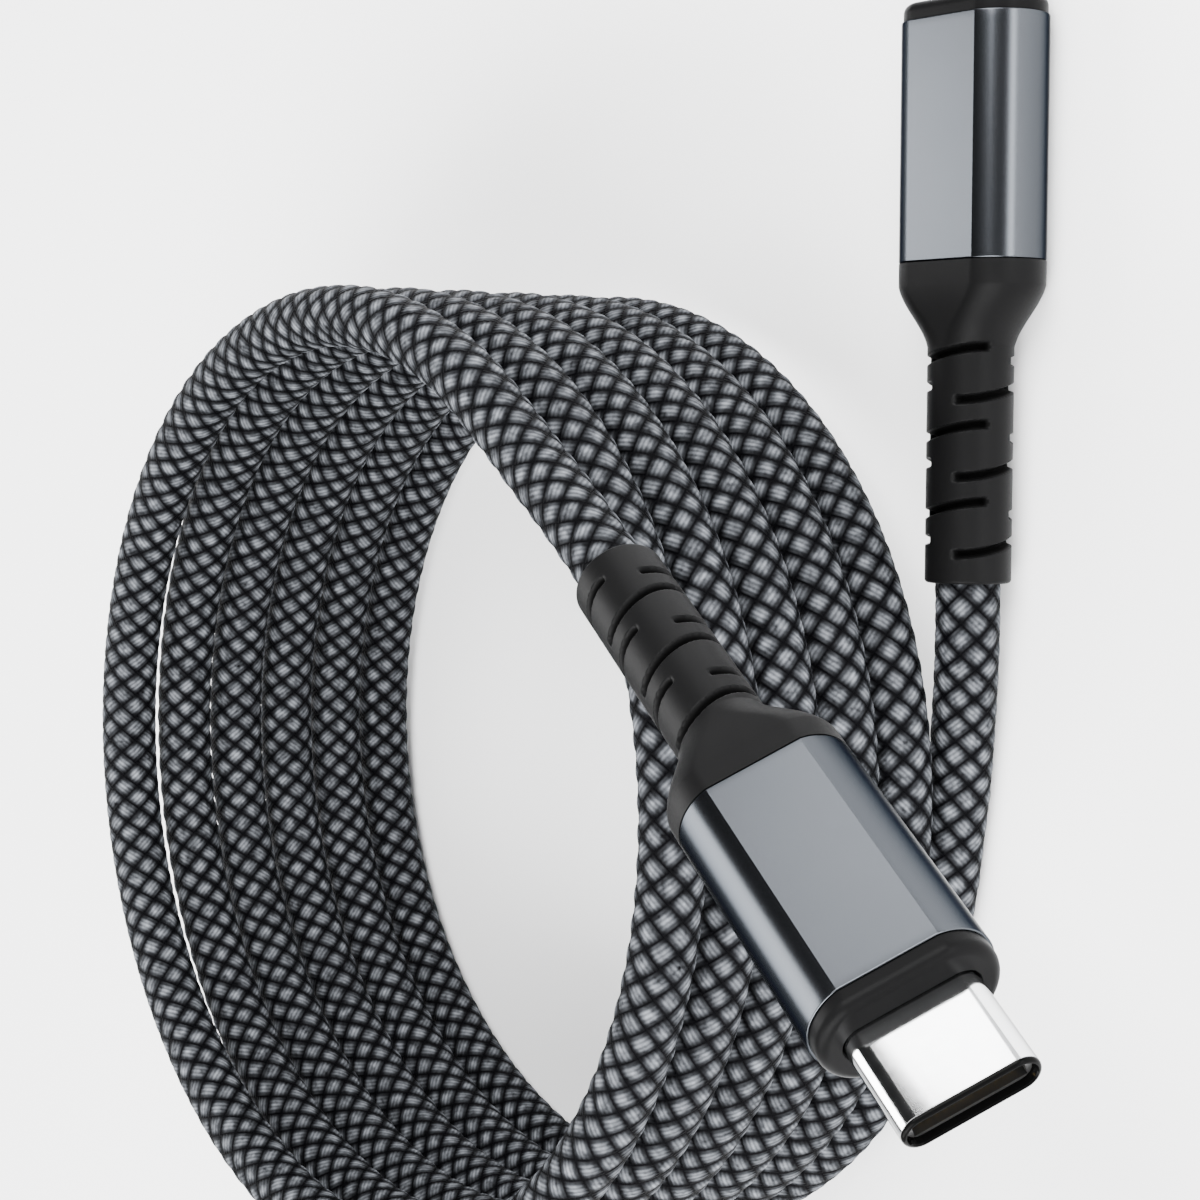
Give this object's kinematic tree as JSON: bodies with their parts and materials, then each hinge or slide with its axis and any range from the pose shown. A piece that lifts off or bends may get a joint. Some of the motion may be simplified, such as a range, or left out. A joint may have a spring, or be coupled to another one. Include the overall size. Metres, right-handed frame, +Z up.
{
  "type": "usb cable",
  "caption": "Braided USB-C to USB-C cable wound into a round coil, with a metal-housed plug and ribbed strain relief on each end",
  "frame": {"origin": "the middle of the underside of the bounding box, on the table that the coil lies on", "axes": "+X runs along the lower plug, which lies on the table and points about +X; +Y runs across the coil; +Z is up, along the axis of the coil"},
  "size_m": [0.1006, 0.115, 0.0461],
  "materials": {
    "braid": "woven",
    "boot_rubber": "matt",
    "shell_aluminium": "satin anodised",
    "nose_plastic": "satin",
    "tip_steel": "polished",
    "insulator_plastic": "satin",
    "contact_gold": "polished",
    "spring_steel": "satin",
    "can_tin": "satin",
    "board_laminate": "satin",
    "capacitor_ceramic": "matt",
    "chip_black": "matt",
    "jacket_plastic": "matt",
    "wire_red": "satin",
    "wire_black": "satin",
    "wire_blue": "satin",
    "wire_green": "satin",
    "wire_white": "satin"
  },
  "bodies": {
    "root": {"cord_coil": "braid", "cord_lead_a": "braid", "plug_a_strain_relief_boot": "boot_rubber", "plug_a_outer_shell": "shell_aluminium", "plug_a_nose_bezel": "nose_plastic", "plug_a_tip_shell": "tip_steel", "plug_a_tip_insulator": "insulator_plastic", "plug_a_contacts_upper": "contact_gold", "plug_a_contacts_lower": "contact_gold", "plug_a_latch_plate": "spring_steel", "plug_a_shield_can": "can_tin", "plug_a_paddle_board": "board_laminate", "plug_a_bypass_capacitor": "capacitor_ceramic", "plug_a_marker_chip": "chip_black", "plug_a_crimp_ferrule": "can_tin", "plug_a_inner_jacket": "jacket_plastic", "plug_a_wire_vbus": "wire_red", "plug_a_wire_ground": "wire_black", "plug_a_wire_cc": "wire_blue", "plug_a_wire_data_plus": "wire_green", "plug_a_wire_data_minus": "wire_white", "cord_lead_b": "braid", "plug_b_strain_relief_boot": "boot_rubber", "plug_b_outer_shell": "shell_aluminium", "plug_b_nose_bezel": "nose_plastic", "plug_b_tip_shell": "tip_steel", "plug_b_tip_insulator": "insulator_plastic", "plug_b_contacts_upper": "contact_gold", "plug_b_contacts_lower": "contact_gold", "plug_b_latch_plate": "spring_steel", "plug_b_shield_can": "can_tin", "plug_b_paddle_board": "board_laminate", "plug_b_bypass_capacitor": "capacitor_ceramic", "plug_b_crimp_ferrule": "can_tin", "plug_b_inner_jacket": "jacket_plastic", "plug_b_wire_vbus": "wire_red", "plug_b_wire_ground": "wire_black", "plug_b_wire_cc": "wire_blue", "plug_b_wire_data_plus": "wire_green", "plug_b_wire_data_minus": "wire_white"}
  },
  "joints": []
}
